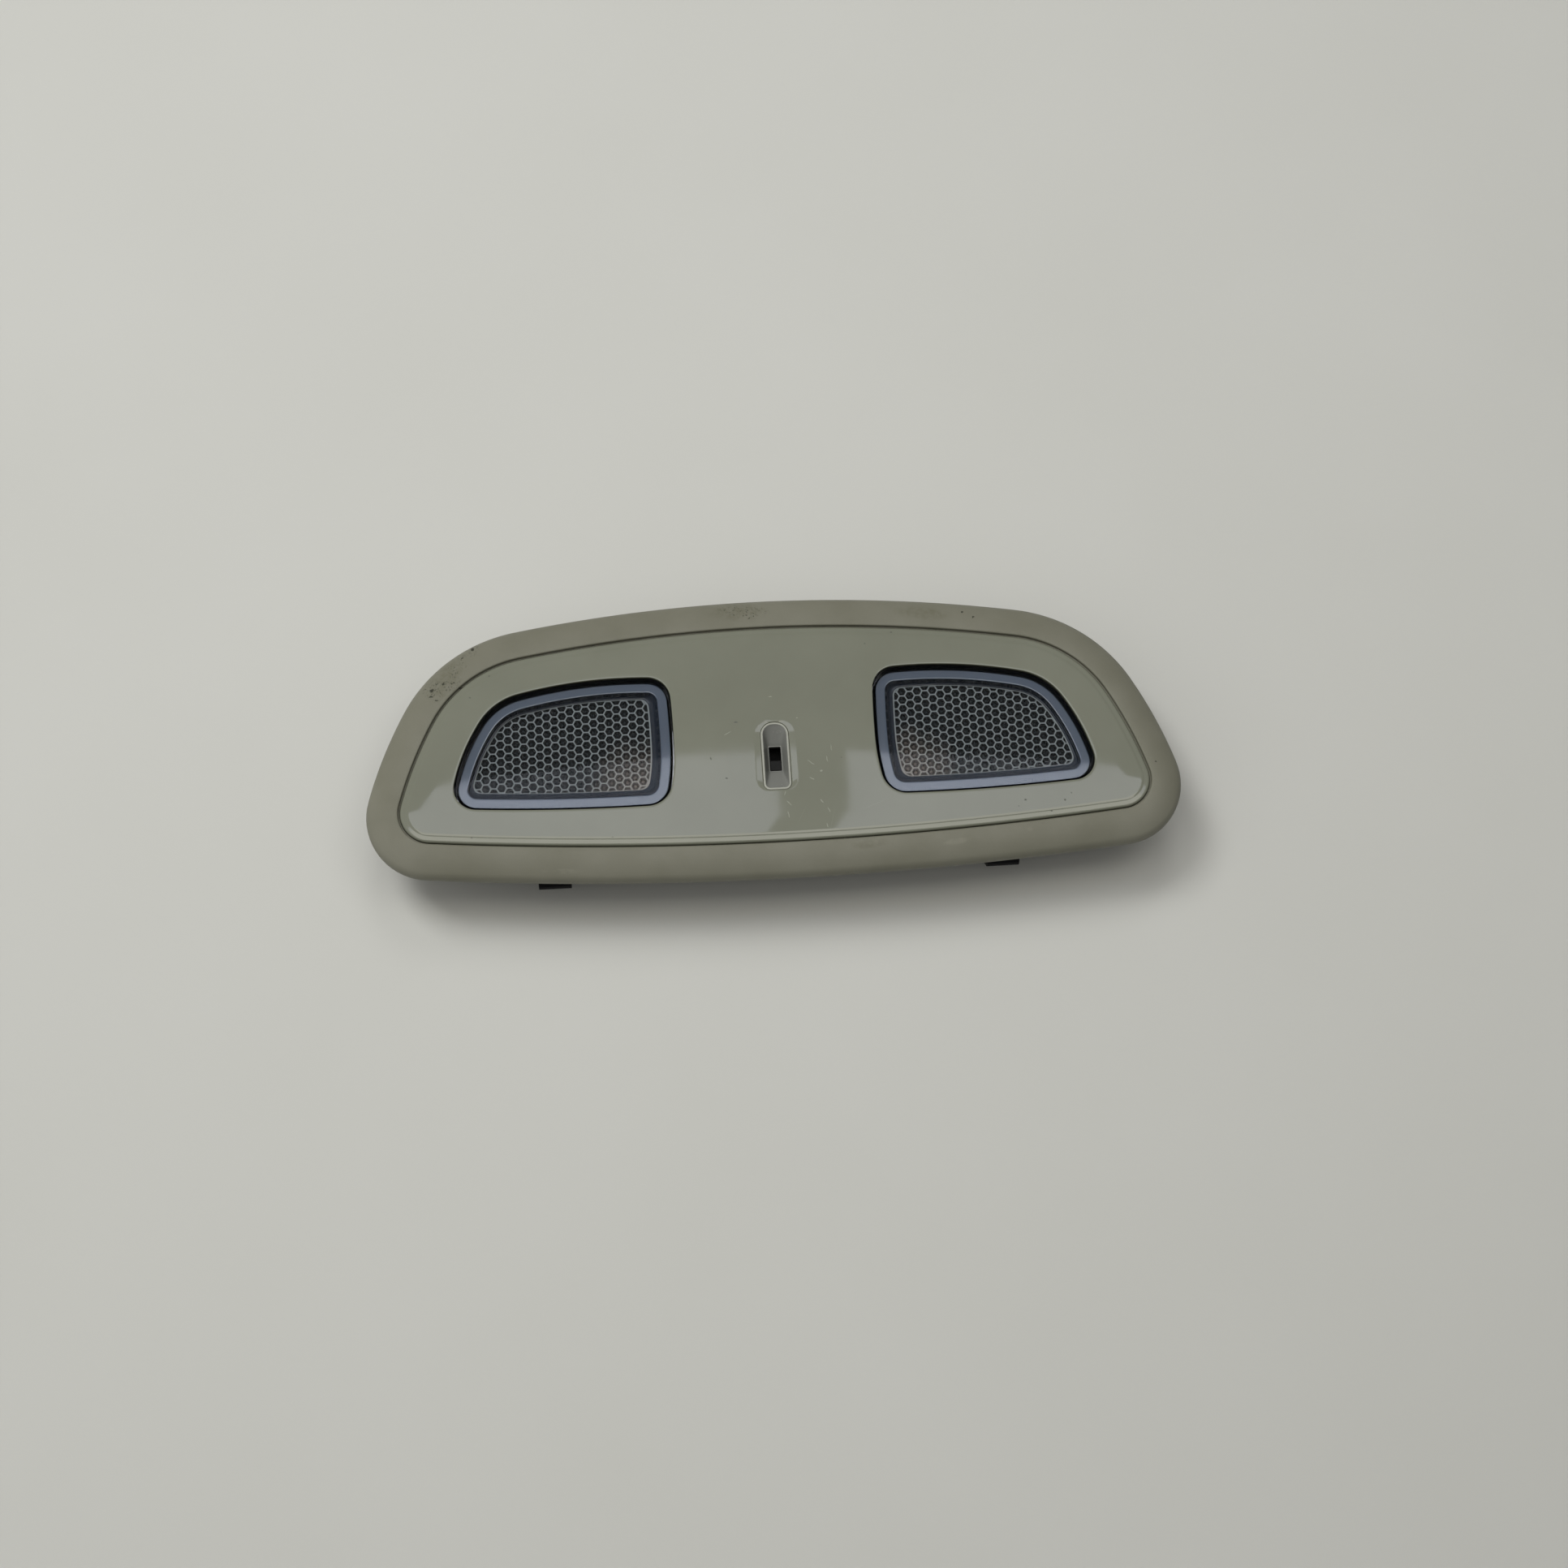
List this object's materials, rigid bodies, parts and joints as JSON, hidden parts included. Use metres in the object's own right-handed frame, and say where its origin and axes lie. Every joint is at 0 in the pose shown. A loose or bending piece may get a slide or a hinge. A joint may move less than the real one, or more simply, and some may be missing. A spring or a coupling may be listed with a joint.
{
  "type": "car interior light",
  "caption": "Roof reading light for a car cabin: rolled bezel, gloss face panel, press-in lenses with honeycomb optics and a small slide switch.",
  "frame": {"origin": "under the middle of the light, on the plane that the rear housing rests on", "axes": "+X along the length to the right, +Y away from the viewer towards the long curved side, +Z out of the face"},
  "size_m": [0.2258, 0.0807, 0.027],
  "materials": {
    "bezel_plastic": "fine moulded grain, grey green",
    "panel_plastic": "polished, grey green",
    "recess_plastic": "satin, mid grey",
    "black_plastic": "black moulded plastic",
    "knob_plastic": "dark grey moulded plastic",
    "tinned_brass": "tinned, dull",
    "board": "green solder resist",
    "housing_plastic": "dark grey moulded plastic",
    "bright_plastic": "metallised, bright",
    "bulb_glass": "clear",
    "switch_cap": "cream moulded plastic",
    "clear_plastic": "clear with a faint blue tint",
    "frame_plastic": "blue grey, smooth",
    "comb_plastic": "smoke clear, moulded cells",
    "cream_plastic": "natural moulded plastic",
    "spring_steel": "blackened spring steel",
    "screw_steel": "zinc plated"
  },
  "bodies": {
    "housing": {"bezel": "bezel_plastic", "panel": "panel_plastic", "switch_bowl": "recess_plastic", "slide_switch": "black_plastic", "slide_terminals": "tinned_brass", "circuit_board": "board", "rear_housing": "housing_plastic", "connector_socket": "cream_plastic", "connector_pins": "tinned_brass", "housing_screws": "screw_steel", "reflector_left": "bright_plastic", "bulb_left": "bulb_glass", "bulb_holder_left": "black_plastic", "bulb_contacts_left": "tinned_brass", "press_switch_left": "black_plastic", "clip_near_left": "spring_steel", "clip_far_left": "spring_steel", "reflector_right": "bright_plastic", "bulb_right": "bulb_glass", "bulb_holder_right": "black_plastic", "bulb_contacts_right": "tinned_brass", "press_switch_right": "black_plastic", "clip_near_right": "spring_steel", "clip_far_right": "spring_steel"},
    "left_lens": {"cover_left": "clear_plastic", "lens_frame_left": "frame_plastic", "honeycomb_left": "comb_plastic", "plunger_left": "switch_cap"},
    "right_lens": {"cover_right": "clear_plastic", "lens_frame_right": "frame_plastic", "honeycomb_right": "comb_plastic", "plunger_right": "switch_cap"},
    "slider": {"slide_knob": "knob_plastic"}
  },
  "joints": [
    {"name": "switch_slide", "type": "slide", "parent": "housing", "child": "slider", "axis": [0, 1, 0], "range_m": [0, 0.004]},
    {"name": "left_lens_press", "type": "slide", "parent": "housing", "child": "left_lens", "axis": [0, 0, -1], "range_m": [0, 0.0012], "stiffness_N_per_m": 1500, "springref_m": -0.002},
    {"name": "right_lens_press", "type": "slide", "parent": "housing", "child": "right_lens", "axis": [0, 0, -1], "range_m": [0, 0.0012], "stiffness_N_per_m": 1500, "springref_m": -0.002}
  ]
}
